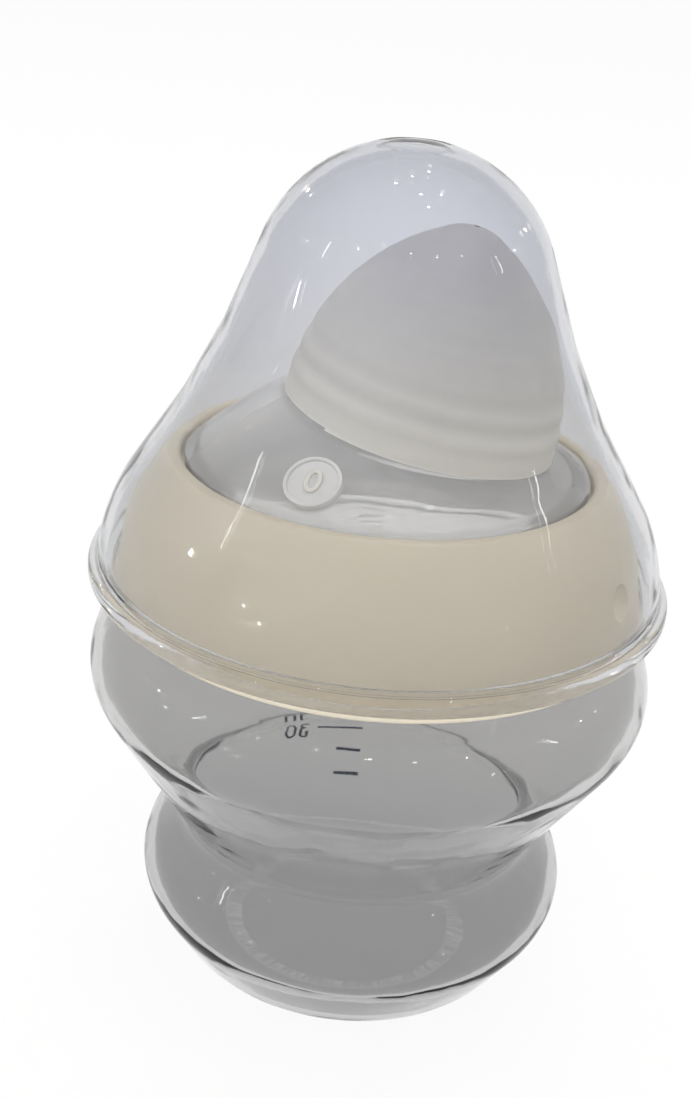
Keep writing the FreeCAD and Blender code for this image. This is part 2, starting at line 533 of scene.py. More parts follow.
@dataclass(frozen=True)
class ClearPlastic:
    """Clear moulded plastic or silicone that lets lamps through.

    Args:
        name: Name of the material.
        low: Tint of its lower part, seen square on; on the body its darkness is painted shade.
        high: Tint of its upper part, seen square on; on the body its lightness is painted light.
        edge: Tint seen along the wall.
        fade: Heights of the low and the high tint.
        waves: Depth of the mould's waviness in metres.
        milk: Share of light that its milkiness scatters.
        wave_scale: Noise cells in a metre of the waviness.
        wave_share: Share of the waviness that shows.
        gloss: Lowest and highest roughness.
        gloss_scale: Noise cells in a metre of the roughness.
        edge_blend: How far the edge tint reaches to the front.
        shadow: Tint of the light that passes to the floor.
    """

    name: str
    low: Colour
    high: Colour
    edge: Colour
    fade: Point
    waves: float
    milk: float = 0.0
    wave_scale: float = 70.0
    wave_share: float = 0.6
    gloss: Point = (0.03, 0.05)
    gloss_scale: float = 700.0
    edge_blend: float = 0.4
    shadow: Colour = (0.93, 0.93, 0.94)

    def material(self) -> bpy.types.Material:
        """Node material of this finish.

        Returns:
            The material.
        """
        sketch = NodeSketch(self.name)
        facing = sketch.add("LayerWeight", {"Blend": self.edge_blend}).outputs["Facing"]
        # Tint climbing with height; on the body this is painted shade low down and painted light towards the
        # neck.
        front = sketch.tone(sketch.climb(*self.fade), self.low, self.high)
        glass = sketch.add("BsdfPrincipled", {
            "Base Color": sketch.blend(facing, front, self.edge),
            "Roughness": sketch.grain(self.gloss_scale, *self.gloss),
            "Normal": sketch.ripple(self.wave_scale, self.waves, self.wave_share),
            "Transmission Weight": 1.0 - self.milk,
            "IOR": THIN_WALL_IOR,
            "Specular IOR Level": 1.0,
        })
        lamps_pass = sketch.add("BsdfTransparent", {"Color": (*self.shadow, 1.0)})
        to_lamp = sketch.add("LightPath").outputs["Is Shadow Ray"]
        return sketch.shade(sketch.either(to_lamp, glass.outputs["BSDF"], lamps_pass.outputs["BSDF"]))


@dataclass(frozen=True)
class SatinPlastic:
    """Opaque moulded plastic with a satin skin.

    Args:
        name: Name of the material.
        dark: Darker tone of the colour.
        light: Lighter tone of the colour.
        gloss: Lowest and highest roughness.
        cloud_scale: Noise cells in a metre of the colour.
        gloss_scale: Noise cells in a metre of the roughness.
        ior: Refractive index.
    """

    name: str
    dark: Colour
    light: Colour
    gloss: Point
    cloud_scale: float = 45.0
    gloss_scale: float = 500.0
    ior: float = 1.48

    def material(self) -> bpy.types.Material:
        """Node material of this finish.

        Returns:
            The material.
        """
        sketch = NodeSketch(self.name)
        plastic = sketch.add("BsdfPrincipled", {
            "Base Color": sketch.tone(sketch.grain(self.cloud_scale, 0.0, 1.0), self.dark, self.light),
            "Roughness": sketch.grain(self.gloss_scale, *self.gloss),
            "IOR": self.ior,
        })
        return sketch.shade(plastic.outputs["BSDF"])


@dataclass(frozen=True)
class Silicone:
    """Soft milky silicone whose colour carries painted shade and painted light with height.

    Args:
        name: Name of the material.
        dark: Darker tone, painted shade at the first fade height.
        light: Lighter tone, painted light at the second fade height.
        gloss: Lowest and highest roughness.
        clear: Share of light that passes.
        fade: Heights of the painted shade and of the painted light.
        waves: Depth of the skin's waviness in metres.
        wave_scale: Noise cells in a metre of the waviness.
        wave_share: Share of the waviness that shows.
        gloss_scale: Noise cells in a metre of the roughness.
        ior: Refractive index.
    """

    name: str
    dark: Colour
    light: Colour
    gloss: Point
    clear: float
    fade: Point
    waves: float = 0.0002
    wave_scale: float = 110.0
    wave_share: float = 0.4
    gloss_scale: float = 900.0
    ior: float = 1.41

    def material(self) -> bpy.types.Material:
        """Node material of this finish.

        Returns:
            The material.
        """
        sketch = NodeSketch(self.name)
        # Base colour darker at one fade height and lighter at the other: painted shade and painted light.
        rubber = sketch.add("BsdfPrincipled", {
            "Base Color": sketch.tone(sketch.climb(*self.fade), self.dark, self.light),
            "Roughness": sketch.grain(self.gloss_scale, *self.gloss),
            "Normal": sketch.ripple(self.wave_scale, self.waves, self.wave_share),
            "Transmission Weight": self.clear,
            "IOR": self.ior,
        })
        return sketch.shade(rubber.outputs["BSDF"])


@dataclass(frozen=True)
class Print:
    """Thin printed ink.

    Args:
        name: Name of the material.
        dark: Tone where the ink is full.
        light: Tone where it is thin.
        gloss: Lowest and highest roughness.
        cloud_scale: Noise cells in a metre of the colour.
        gloss_scale: Noise cells in a metre of the roughness.
    """

    name: str
    dark: Colour
    light: Colour
    gloss: Point = (0.35, 0.55)
    cloud_scale: float = 1800.0
    gloss_scale: float = 900.0

    def material(self) -> bpy.types.Material:
        """Node material of this finish.

        Returns:
            The material.
        """
        sketch = NodeSketch(self.name)
        ink = sketch.add("BsdfPrincipled", {
            "Base Color": sketch.tone(sketch.grain(self.cloud_scale, 0.0, 1.0), self.dark, self.light),
            "Roughness": sketch.grain(self.gloss_scale, *self.gloss),
        })
        return sketch.shade(ink.outputs["BSDF"])


# Body tint: darker low down as painted shade, lighter towards the neck as painted light.
BODY_PLASTIC_PAINTED_SHADE = ClearPlastic(
    "clear_body_painted_shade", low=(0.53, 0.53, 0.535), high=(0.72, 0.715, 0.70), edge=(0.54, 0.54, 0.54),
    fade=(8 * MM, 69 * MM), waves=0.00025,
)
HOOD_PLASTIC = ClearPlastic(
    "clear_hood", low=(0.81, 0.81, 0.805), high=(0.80, 0.81, 0.86), edge=(0.58, 0.59, 0.62),
    fade=(75 * MM, 108 * MM), waves=0.00018,
)
SKIRT_SILICONE = ClearPlastic(
    "clear_silicone", low=(0.90, 0.90, 0.885), high=(0.94, 0.94, 0.93), edge=(0.80, 0.80, 0.79),
    fade=(70 * MM, 82 * MM), waves=0.0002, milk=0.3,
)
PAD_SILICONE = ClearPlastic(
    "matt_silicone", low=(0.80, 0.80, 0.785), high=(0.84, 0.84, 0.83), edge=(0.78, 0.78, 0.77),
    fade=(76 * MM, 82 * MM), waves=0.0001, milk=0.7,
)
RING_PLASTIC = SatinPlastic(
    "cream_ring", dark=(0.65, 0.59, 0.475), light=(0.69, 0.63, 0.515), gloss=(0.31, 0.40),
)
# Dome colour: darker towards the top as painted shade, lighter towards its foot as painted light.
DOME_SILICONE_PAINTED_SHADE = Silicone(
    "frosted_silicone_painted_shade", dark=(0.45, 0.445, 0.44), light=(0.80, 0.78, 0.715), gloss=(0.42, 0.55),
    clear=0.1, fade=(102 * MM, 82 * MM),
)
SCALE_PRINT = Print("scale_print", dark=(0.20, 0.24, 0.34), light=(0.28, 0.32, 0.42))


def dress(obj: bpy.types.Object, material: bpy.types.Material, rides: Rides) -> None:
    """Give a piece its finish and its body.

    Args:
        obj: Finished piece, in place.
        material: Its material.
        rides: Body that it moves with.
    """
    obj.data.materials.clear()
    obj.data.materials.append(material)
    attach(obj, rides.value)
    log.info("%s: %d faces on %s", obj.name, len(obj.data.polygons), rides.value)


@dataclass
class Body:
    """Clear hourglass body with its neck thread and printed scale.

    Args:
        shoulder_r: Largest radius.
        rim_z: Height of the mouth.
    """

    shoulder_r: float
    rim_z: float
    wall: float = 1.5 * MM
    push_up: float = 1.7 * MM
    push_up_arc: float = 64.0 * MM
    stand_in_r: float = 15.5 * MM
    stand_edge_arc: float = 2.5 * MM
    stand_out_r: float = 18.0 * MM
    base_corner_arc: float = 9.5 * MM
    bulge_r: float = 30.3 * MM
    bulge_z: float = 13.4 * MM
    waist_r: float = 25.6 * MM
    waist_above_bulge: float = 9.0 * MM
    waist_softness: float = 0.9
    bulge_share: float = 0.7
    shoulder_arc: float = 8.9 * MM
    neck_r: float = 29.4 * MM
    neck_length: float = 12.0 * MM
    neck_root_above_shoulder: float = 11.5 * MM
    neck_root_arc: float = 1.6 * MM
    rim_round: float = 0.5 * MM
    thread_rise: float = 1.4 * MM
    thread_above_root: float = 2.7 * MM
    thread_turns: float = 1.5

    def neck_root_z(self) -> float:
        """Height of the foot of the neck."""
        return self.rim_z - self.neck_length

    def thread_z(self) -> float:
        """Height where the neck's thread starts."""
        return self.neck_root_z() + self.thread_above_root

    def bends(self) -> list[Bend]:
        """Bends of the wall from the middle of the base to the neck.

        Returns:
            The bends in turn.
        """
        shoulder_z = self.neck_root_z() - self.neck_root_above_shoulder
        drop = self.bulge_r - self.waist_r
        arcs = self.waist_softness * (drop**2 + self.waist_above_bulge**2) / (2 * drop)
        bulge_arc = self.bulge_share * arcs
        return [
            bend(0, self.push_up, -90, -self.push_up_arc),
            bend(self.stand_in_r, 0, -90, self.stand_edge_arc),
            bend(self.stand_out_r, 0, -90, self.base_corner_arc),
            bend(self.bulge_r, self.bulge_z, 0, bulge_arc),
            bend(self.waist_r, self.bulge_z + self.waist_above_bulge, 0, bulge_arc - arcs),
            bend(self.shoulder_r, shoulder_z, 0, self.shoulder_arc),
            bend(self.neck_r, self.neck_root_z(), 0, -self.neck_root_arc),
            Bend(self.neck_r, self.rim_z - self.rim_round, 0.0),
        ]

    def outer(self) -> Outline:
        """Outer side of the wall."""
        return wall_outline(self.bends(), 0, 90, 0.0)

    def inner(self) -> Outline:
        """Inner side of the wall."""
        return wall_outline(self.bends(), 0, 90, self.wall)

    def build(self) -> bpy.types.Object:
        """Turn the body, with a rounded mouth.

        Returns:
            The body.
        """
        outer, inner = self.outer(), self.inner()
        mouth_r = self.neck_r - self.wall
        low = self.rim_z - self.rim_round * 2
        mouth = soft_corners([(self.neck_r, low, 0), (self.neck_r, self.rim_z, self.rim_round),
                              (mouth_r, self.rim_z, self.rim_round), (mouth_r, low, 0)], closed=False)
        return lathe("bottle_body", outer[:-1] + mouth + inner[-2::-1])

    def build_thread(self) -> bpy.types.Object:
        """Screw ridge on the neck."""
        return thread_ridge("neck_thread", self.neck_r - THREAD_SINK, self.neck_r + self.thread_rise,
                            self.thread_z(), self.thread_turns)

    def level(self, millilitres: float) -> float:
        """Height of the surface of a filling.

        Args:
            millilitres: Volume of the filling.

        Returns:
            The height.
        """
        inner = self.inner()
        filled = 0.0
        for (r0, z0), (r1, z1) in zip(inner, inner[1:]):
            slice_ml = math.pi * (r0 * r0 + r0 * r1 + r1 * r1) / 3 * (z1 - z0) * ML_PER_M3
            if slice_ml > 0 and filled + slice_ml >= millilitres:
                return z0 + (z1 - z0) * (millilitres - filled) / slice_ml
            filled += slice_ml
        return self.rim_z

    def dress(self, obj: bpy.types.Object, thread: bpy.types.Object) -> None:
        """Finish the body and its thread.

        Args:
            obj: Body.
            thread: Ridge on its neck.
        """
        plastic = BODY_PLASTIC_PAINTED_SHADE.material()
        dress(obj, plastic, Rides.BODY)
        dress(thread, plastic, Rides.BODY)
        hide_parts("bottle")


@dataclass
class VolumeScale:
    """Printed volume marks on the back of the body.

    Args:
        body: Body that carries the print.
    """

    body: Body
    smallest: int = 10
    largest: int = 150
    step: int = 10
    numbered: int = 30
    dash: float = 4.2 * MM
    long_dash: float = 7.5 * MM
    stroke: float = 0.55 * MM
    dash_parts: tuple[int, int] = (6, 2)
    figure: float = 3.4 * MM
    type_over_figure: float = 1.4
    gap: float = 1.2 * MM
    film: float = 0.05 * MM

    def wrap(self, obj: bpy.types.Object, height: float) -> None:
        """Lay a flat mark on the back wall.

        Args:
            obj: Mark drawn in the XY plane, in metres.
            height: Height of its zero line.
        """
        line = self.body.outer()

        def onto_wall(co: Vector) -> Vector:
            """Place of one point of the mark.

            Args:
                co: Point of the flat mark.

            Returns:
                The point on the wall.
            """
            radius = line_radius(line, height + co.y)
            turn = math.pi / 2 + co.x / radius
            return Vector((radius * math.cos(turn), radius * math.sin(turn), height + co.y))

        move_points(obj, onto_wall)

    def stroke_mark(self, length: float, height: float) -> bpy.types.Object:
        """One dash of the scale.

        Args:
            length: Length of the dash.
            height: Height of the dash on the body.

        Returns:
            The dash on the wall.
        """
        across, up = self.dash_parts
        bpy.ops.object.select_all(action="DESELECT")
        bpy.ops.mesh.primitive_grid_add(x_subdivisions=across, y_subdivisions=up, size=1.0)
        obj = bpy.context.object
        move_points(obj, lambda co: Vector(((co.x + 0.5) * length, co.y * self.stroke, 0.0)))
        self.wrap(obj, height)
        return obj

    def figure_mark(self, value: int, height: float) -> bpy.types.Object:
        """One number of the scale.

        Args:
            value: Number.
            height: Height of its middle on the body.

        Returns:
            The number on the wall.
        """
        obj = text_mesh(str(value), self.figure * self.type_over_figure)
        move_points(obj, lambda co: Vector((co.x + self.long_dash + self.gap, co.y, 0.0)))
        self.wrap(obj, height)
        return obj

    def build(self) -> bpy.types.Object:
        """Print every mark and join them into one thin piece.

        Returns:
            The scale.
        """
        marks = []
        for value in range(self.smallest, self.largest + 1, self.step):
            height = self.body.level(value)
            numbered = value % self.numbered == 0
            marks.append(self.stroke_mark(self.long_dash if numbered else self.dash, height))
            if numbered:
                marks.append(self.figure_mark(value, height))
        bpy.ops.object.select_all(action="DESELECT")
        for mark in marks:
            mark.select_set(True)
        bpy.context.view_layer.objects.active = marks[0]
        bpy.ops.object.join()
        scale = bpy.context.object
        scale.name = "volume_scale"
        apply_modifier(scale, "SOLIDIFY", thickness=self.film, offset=1.0)
        return scale

    def dress(self, obj: bpy.types.Object) -> None:
        """Ink the scale."""
        dress(obj, SCALE_PRINT.material(), Rides.BODY)


@dataclass
class ScrewRing:
    """Cream screw collar.

    Args:
        foot_r: Largest radius, at its foot.
        foot_z: Height of its lower edge.
        top_z: Height of its top edge.
        neck_r: Radius of the neck that it screws on.
    """

    foot_r: float
    foot_z: float
    top_z: float
    neck_r: float
    thread_room: float = 1.8 * MM
    seat_room: float = 0.6 * MM
    seat_depth: float = 3.3 * MM
    lip_reach: float = 4.0 * MM
    lip_t: float = 1.8 * MM
    edge_rise: float = 2.0 * MM
    edge_wall: float = 1.7 * MM
    opening_room: float = 1.1 * MM
    foot_out: float = 1.0 * MM
    foot_t: float = 2.0 * MM
    band_bulge: float = 1.3 * MM
    band_steps: int = 24
    edge_round: float = 0.6 * MM
    bore_round: float = 0.3 * MM
    inner_round: float = 0.2 * MM
    thread_rise: float = 1.3 * MM
    thread_turns: float = 1.5
    dimple_r: float = 2.3 * MM
    dimple_depth: float = 1.0 * MM
    dimple_above_foot: float = 6.8 * MM
    dimple_angle: float = 332.0
    dimple_facets: tuple[int, int] = (96, 64)

    def lip_r(self) -> float:
        """Radius of the inner lip."""
        return self.neck_r - self.lip_reach

    def lip_top(self) -> float:
        """Height of the upper side of the inner lip."""
        return self.top_z - self.edge_rise

    def bore_r(self) -> float:
        """Radius of the bore round the neck's thread."""
        return self.neck_r + self.thread_room

    def band(self) -> Outline:
        """Bulging outer side from the foot to the top edge.

        Returns:
            Points of the section line.
        """
        low = Vector((self.foot_r - self.foot_out, self.foot_z + self.foot_t))
        edge_r = self.lip_r() + self.opening_room + self.edge_wall
        high = Vector((edge_r, self.top_z))
        chord = (high - low).length
        arc = (chord**2 / 4 + self.band_bulge**2) / (2 * self.band_bulge)
        out = Vector((high.y - low.y, low.x - high.x)).normalized()
        centre = (low + high) / 2 - out * (arc - self.band_bulge)
        start, end = low - centre, high - centre
        swing = start.angle(end)
        points = []
        for k in range(self.band_steps + 1):
            share = k / self.band_steps
            ray = start * (math.sin((1 - share) * swing) / math.sin(swing))
            ray = ray + end * (math.sin(share * swing) / math.sin(swing))
            points.append(((centre + ray).x, (centre + ray).y))
        return points

    def build(self) -> bpy.types.Object:
        """Turn the ring and press its dimple.

        Returns:
            The ring.
        """
        lip_r, lip_top, bore_r = self.lip_r(), self.lip_top(), self.bore_r()
        opening_r = lip_r + self.opening_room
        lip_z = lip_top - self.lip_t
        seat_r = self.neck_r + self.seat_room
        seat_z = lip_z - self.seat_depth
        foot_top = self.foot_z + self.foot_t
        band = self.band()
        corners = [(r, z, 0.0) for r, z in band[:-1]]
        corners += [
            (*band[-1], self.edge_round), (opening_r, self.top_z, self.edge_round),
            (opening_r, lip_top, self.inner_round), (lip_r, lip_top, self.edge_round),
            (lip_r, lip_z, self.inner_round), (seat_r, lip_z, self.inner_round), (seat_r, seat_z, 0.0),
            (bore_r, seat_z, self.inner_round), (bore_r, self.foot_z, self.bore_round),
            (self.foot_r, self.foot_z, self.edge_round), (self.foot_r, foot_top, self.edge_round),
        ]
        ring = lathe("ring_collar", soft_corners(corners, closed=True))
        self.press_dimple(ring, band)
        return ring

    def press_dimple(self, ring: bpy.types.Object, band: Outline) -> None:
        """Press the small round dimple into the band.

        Args:
            ring: Turned ring.
            band: Section line of its band.
        """
        height = self.foot_z + self.foot_t + self.dimple_above_foot
        ball = (self.dimple_r**2 + self.dimple_depth**2) / (2 * self.dimple_depth)
        reach = line_radius(band, height) + ball - self.dimple_depth
        turn = math.radians(self.dimple_angle)
        place = (reach * math.cos(turn), reach * math.sin(turn), height)
        around, up = self.dimple_facets
        bpy.ops.object.select_all(action="DESELECT")
        bpy.ops.mesh.primitive_uv_sphere_add(segments=around, ring_count=up, radius=ball, location=place)
        tool = bpy.context.object
        apply_modifier(ring, "BOOLEAN", object=tool, operation="DIFFERENCE", solver="EXACT")
        bpy.data.objects.remove(tool)
        smooth(ring)

    def build_thread(self, neck_start: float) -> bpy.types.Object:
        """Screw ridge inside the ring, half a lead under the neck's own.

        Args:
            neck_start: Height where the neck's thread starts.

        Returns:
            The ridge.
        """
        bore_r = self.bore_r()
        return thread_ridge("ring_thread", bore_r + THREAD_SINK, bore_r - self.thread_rise,
                            neck_start - THREAD_LEAD / 2, self.thread_turns)

    def dress(self, obj: bpy.types.Object, thread: bpy.types.Object) -> None:
        """Finish the ring and its thread.

        Args:
            obj: Ring.
            thread: Ridge in its bore.
        """
        plastic = RING_PLASTIC.material()
        dress(obj, plastic, Rides.RING)
        dress(thread, plastic, Rides.RING)
        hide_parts("screw_ring")


@dataclass
class Teat:
    """Silicone teat: flange, throat, clear skirt and frosted leaning dome.

    Args:
        flange_r: Radius of its flange.
        seat_z: Height of the flange's underside.
        ring: Ring that holds it.
    """

    flange_r: float
    seat_z: float
    ring: ScrewRing
    flange_t: float = 2.0 * MM
    slip: float = 0.3 * MM
    bead_out: float = 0.7 * MM
    bead_t: float = 1.5 * MM
    throat_wall: float = 1.6 * MM
    skirt_wall: float = 1.8 * MM
    skirt_slope: float = 31.8
    dome_r: float = 17.7 * MM
    dome_h: float = 24.7 * MM
    dome_wall: float = 1.6 * MM
    dome_nose: float = 7.4 * MM
    dome_above_bead: float = 5.9 * MM
    dome_offset: float = 3.6 * MM
    dome_lean: float = 10.5
    foot_round: float = 1.2 * MM
    flange_round: float = 0.4 * MM
    seat_round: float = 0.3 * MM
    throat_round: float = 0.2 * MM
    bead_round: float = 0.6 * MM
    bead_foot_round: float = 0.3 * MM
    inner_round: float = 0.4 * MM
    shelf_round: float = 0.5 * MM
    dome_step: float = 0.4 * MM
    skirt_step: float = 0.8 * MM
    frost_drop: float = 0.4 * MM
    hole_r: float = 0.45 * MM
    rib_depth: float = 0.22 * MM
    rib_pitch: float = 3.1 * MM
    rib_top: float = 11.0 * MM
    pad_r: float = 3.5 * MM
    pad_rise: float = 0.35 * MM
    pad_rim: float = 0.5 * MM
    pad_round: float = 0.1 * MM
    pad_rim_in_round: float = 0.12 * MM
    pad_rim_round: float = 0.15 * MM
    pad_down: float = 3.9 * MM
    pad_angle: float = 245.0
    figure: float = 4.4 * MM
    figure_half_t: float = 0.12 * MM
    figure_bevel: float = 0.06 * MM
    figure_lift: float = 0.05 * MM
    figure_turn: float = 115.0

    def bead_top(self) -> Point:
        """Outer upper corner of the bead, where the skirt starts."""
        return self.ring.lip_r() + self.bead_out, self.ring.lip_top() + self.slip + self.bead_t

    def dome_z(self) -> float:
        """Height of the dome's widest ring on its own axis."""
        return self.bead_top()[1] + self.dome_above_bead

    def dome_line(self, inset: float) -> Outline:
        """Dome from its widest ring to the feed hole.

        Args:
            inset: Depth under the outer side.

        Returns:
            Points of the line on an upright axis.
        """
        radius, height, nose = self.dome_r - inset, self.dome_h - inset, self.dome_nose - inset
        flank = (radius**2 + (height - nose)**2 - nose**2) / (2 * (radius - nose))
        line = wall_outline([bend(radius, 0, 0, flank), bend(0, height, 90, nose)], 90, 180, 0.0)
        flank_line = [(r, z) for r, z in finer(line, self.dome_step) if r > self.hole_r]
        base = self.dome_z()
        return [(r - self.rib(z, inset), base + z) for r, z in flank_line] + [(self.hole_r, base + height)]

    def rib(self, height: float, inset: float) -> float:
        """Depth of the soft ribs that ring the outside of the dome's lower half.

        Args:
            height: Height above the dome's widest ring.
            inset: Depth under the outer side.

        Returns:
            The depth, zero on the inside.
        """
        if inset or height > self.rib_top:
            return 0.0
        fade = math.sin(math.pi * height / self.rib_top)
        return self.rib_depth * fade * (0.5 - 0.5 * math.cos(2 * math.pi * height / self.rib_pitch))

    def lean(self, co: Vector) -> Vector:
        """Lean the dome to its side, with the skirt drawn along.

        Args:
            co: Point of the upright teat.

        Returns:
            The point on the leaning teat.
        """
        low, high = self.bead_top()[1], self.dome_z()
        share = max(0.0, min(1.0, (co.z - low) / (high - low)))
        share = share * share * (3 - 2 * share)
        pivot = Matrix.Translation((0, 0, high))
        turn = pivot @ Matrix.Rotation(math.radians(self.dome_lean), 4, "Y") @ pivot.inverted()
        leaned = turn @ co + Vector((self.dome_offset, 0, 0))
        return co.lerp(leaned, share)

    def build(self) -> bpy.types.Object:
        """Turn the teat upright and lean its dome.

        Returns:
            The teat.
        """
        bead_r, bead_top = self.bead_top()
        throat_r = self.ring.lip_r() - self.slip
        throat_in = throat_r - self.throat_wall
        lip_z = self.seat_z + self.flange_t
        bead_z = bead_top - self.bead_t
        rise = math.tan(math.radians(self.skirt_slope))
        drop = self.skirt_wall / math.cos(math.radians(self.skirt_slope))
        foot_z = bead_top + (bead_r - self.dome_r) * rise
        inner_r = self.dome_r - self.dome_wall
        inner_foot = bead_top + (bead_r - inner_r) * rise - drop
        outer = soft_corners([
            (throat_in, self.seat_z, 0.0), (self.flange_r, self.seat_z, self.seat_round),
            (self.flange_r, lip_z, self.flange_round), (throat_r, lip_z, self.throat_round),
            (throat_r, bead_z, self.throat_round), (bead_r, bead_z, self.bead_foot_round),
            (bead_r, bead_top, self.bead_round), (self.dome_r, foot_z, self.foot_round),
            (self.dome_r, self.dome_z(), 0.0),
        ], closed=False)
        shelf_z = bead_top + (bead_r - throat_in) * rise - drop
        inner = soft_corners([
            (inner_r, self.dome_z(), 0.0), (inner_r, inner_foot, self.inner_round),
            (throat_in, shelf_z, self.shelf_round), (throat_in, self.seat_z, 0.0),
        ], closed=False)
        dome = self.dome_line(0.0) + self.dome_line(self.dome_wall)[::-1]
        outer, inner = finer(outer, self.skirt_step), finer(inner, self.skirt_step)
        teat = lathe("teat_rubber", outer[:-1] + dome + inner[1:])
        move_points(teat, self.lean)
        smooth(teat)
        return teat

    def pad_place(self) -> Matrix:
        """Place of the flow pad, square on the leaned skirt.

        Returns:
            Frame with X down the skirt and Z out of it.
        """
        bead_r, bead_top = self.bead_top()
        rise = math.tan(math.radians(self.skirt_slope))
        spot = Matrix.Translation((bead_r - self.pad_down, 0, bead_top + self.pad_down * rise))
        tilt = Matrix.Rotation(math.radians(self.skirt_slope), 4, "Y")
        upright = Matrix.Rotation(math.radians(self.pad_angle), 4, "Z") @ spot @ tilt
        centre = self.lean(upright.translation)
        down = (self.lean(upright @ Vector((MM, 0, 0))) - centre).normalized()
        out = down.cross(self.lean(upright @ Vector((0, MM, 0))) - centre).normalized()
        frame = Matrix((down, out.cross(down), out)).transposed().to_4x4()
        return Matrix.Translation(centre) @ frame

    def build_pad(self) -> bpy.types.Object:
        """Turn the flow pad, with its raised rim, and set it on the skirt.

        Returns:
            The pad.
        """
        rim_z, sunk = 2 * self.pad_rise, -self.skirt_wall / 2
        field_r = self.pad_r - self.pad_rim
        line = soft_corners([
            (0.0, self.pad_rise, 0), (field_r, self.pad_rise, self.pad_round),
            (field_r, rim_z, self.pad_rim_in_round), (self.pad_r, rim_z, self.pad_rim_round),
            (self.pad_r, sunk, self.pad_round), (0.0, sunk, 0),
        ], closed=False)
        pad = lathe("flow_pad", line)
        place = self.pad_place()
        move_points(pad, lambda co: place @ co)
        return pad

    def build_figure(self) -> bpy.types.Object:
        """Raised flow number on the pad.

        Returns:
            The number.
        """
        obj = text_mesh("0", self.figure, extrude=self.figure_half_t, bevel_depth=self.figure_bevel,
                        align_x="CENTER")
        obj.name = "flow_number"
        upright = Matrix.Rotation(math.radians(self.figure_turn), 4, "Z")
        place = self.pad_place() @ Matrix.Translation((0, 0, self.pad_rise + self.figure_lift)) @ upright
        move_points(obj, lambda co: place @ co)
        smooth(obj)
        return obj

    def dress(self, obj: bpy.types.Object, pad: bpy.types.Object, figure: bpy.types.Object) -> None:
        """Finish the teat: frosted dome and number, clear skirt and flange, matt pad.

        Args:
            obj: Teat.
            pad: Flow pad.
            figure: Flow number.
        """
        frosted, matt = DOME_SILICONE_PAINTED_SHADE.material(), PAD_SILICONE.material()
        dress(obj, SKIRT_SILICONE.material(), Rides.TEAT)
        dress(pad, matt, Rides.TEAT)
        dress(figure, frosted, Rides.TEAT)
        obj.data.materials.append(frosted)
        axis = Matrix.Rotation(math.radians(-self.dome_lean), 4, "Y")
        foot = Vector((self.dome_offset, 0, self.dome_z()))
        for face in obj.data.polygons:
            local = axis @ (face.center - foot)
            face.material_index = int(local.z > -self.frost_drop)
        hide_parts("teat")


@dataclass
class Hood:
    """Clear bell-shaped hood with a rolled rim.

    Args:
        rim_r: Radius of the rim.
        rim_z: Height of its lower edge.
        top_z: Height of its crown.
    """

    rim_r: float
    rim_z: float
    top_z: float
    wall: float = 1.3 * MM
    rim_out: float = 1.0 * MM
    rim_t: float = 2.4 * MM
    rim_in: float = 3.3 * MM
    rim_round: float = 1.0 * MM
    rim_root_round: float = 0.25 * MM
    land_round: float = 0.4 * MM
    land_root_round: float = 0.3 * MM
    land_foot_round: float = 0.2 * MM
    crown_arc: float = 19.1 * MM
    skirt_arc: float = 25.0 * MM
    flare_arc: float = 105.0 * MM
    mark_r: float = 3.8 * MM
    mark_depth: float = 0.10 * MM
    mark_slope: float = 0.2 * MM
    mark_room: float = 0.3 * MM

    def build(self) -> bpy.types.Object:
        """Turn the hood from the inside of its crown to the outside.

        Returns:
            The hood.
        """
        skirt = bend(self.rim_r - self.rim_out, self.rim_z, 0, self.skirt_arc)
        crown = bend(0, self.top_z, 90, self.crown_arc)
        bends = [skirt, bend_between(skirt, crown, self.flare_arc), crown]
        rim_top = self.rim_z + self.rim_t
        outer = [p for p in wall_outline(bends, 90, 180, 0.0) if p[1] > rim_top]
        inner = [p for p in wall_outline(bends, 90, 180, self.wall) if p[1] > rim_top]
        rim_in = self.rim_r - self.rim_in
        rim = soft_corners([
            (*inner[0], 0), (inner[0][0], rim_top, self.land_root_round),
            (rim_in, rim_top, self.land_round), (rim_in, self.rim_z, self.land_foot_round),
            (self.rim_r, self.rim_z, self.rim_round), (self.rim_r, rim_top, self.rim_round),
            (outer[0][0], rim_top, self.rim_root_round), (*outer[0], 0),
        ], closed=False)
        return lathe("hood_bell", inner[:0:-1] + rim + self.mark(outer[1:]))

    def mark(self, line: Outline) -> Outline:
        """Line with the shallow round moulding mark at the crown.

        Args:
            line: Outer side of the hood up to its crown.

        Returns:
            The line with the mark sunk in it.
        """
        crown_z = self.top_z - self.crown_arc
        kept = [(r, z) for r, z in line if r > self.mark_r + self.mark_room]
        for r, depth in ((self.mark_r + self.mark_slope, 0.0), (self.mark_r, self.mark_depth),
                         (self.mark_r / 2, self.mark_depth), (0.0, self.mark_depth)):
            kept.append((r, crown_z + math.sqrt(self.crown_arc**2 - r * r) - depth))
        return kept

    def dress(self, obj: bpy.types.Object) -> None:
        """Finish the hood."""
        dress(obj, HOOD_PLASTIC.material(), Rides.HOOD)
        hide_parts("hood")


@dataclass(frozen=True)
class Lamp:
    """Soft lamp that faces the bottle.

    Args:
        name: Name of the lamp.
        place: Where it stands.
        size: Width and height of its face.
        watts: Power.
        shines: Whether it shows in reflections.
        tint: Colour of its light.
    """

    name: str
    place: Place
    size: Point
    watts: float
    shines: bool = True
    tint: Colour = (1.0, 1.0, 1.0)

    def build(self, target: Vector) -> None:
        """Set the lamp up.

        Args:
            target: Point that it faces.
        """
        light = bpy.data.lights.new(self.name, "AREA")
        light.shape = "RECTANGLE"
        light.size, light.size_y = self.size
        light.energy = self.watts
        light.color = self.tint
        obj = bpy.data.objects.new(self.name, light)
        bpy.context.scene.collection.objects.link(obj)
        obj.visible_glossy = self.shines
        obj.visible_transmission = self.shines
        obj.location = self.place
        obj.rotation_euler = (target - Vector(self.place)).to_track_quat("-Z", "Y").to_euler()


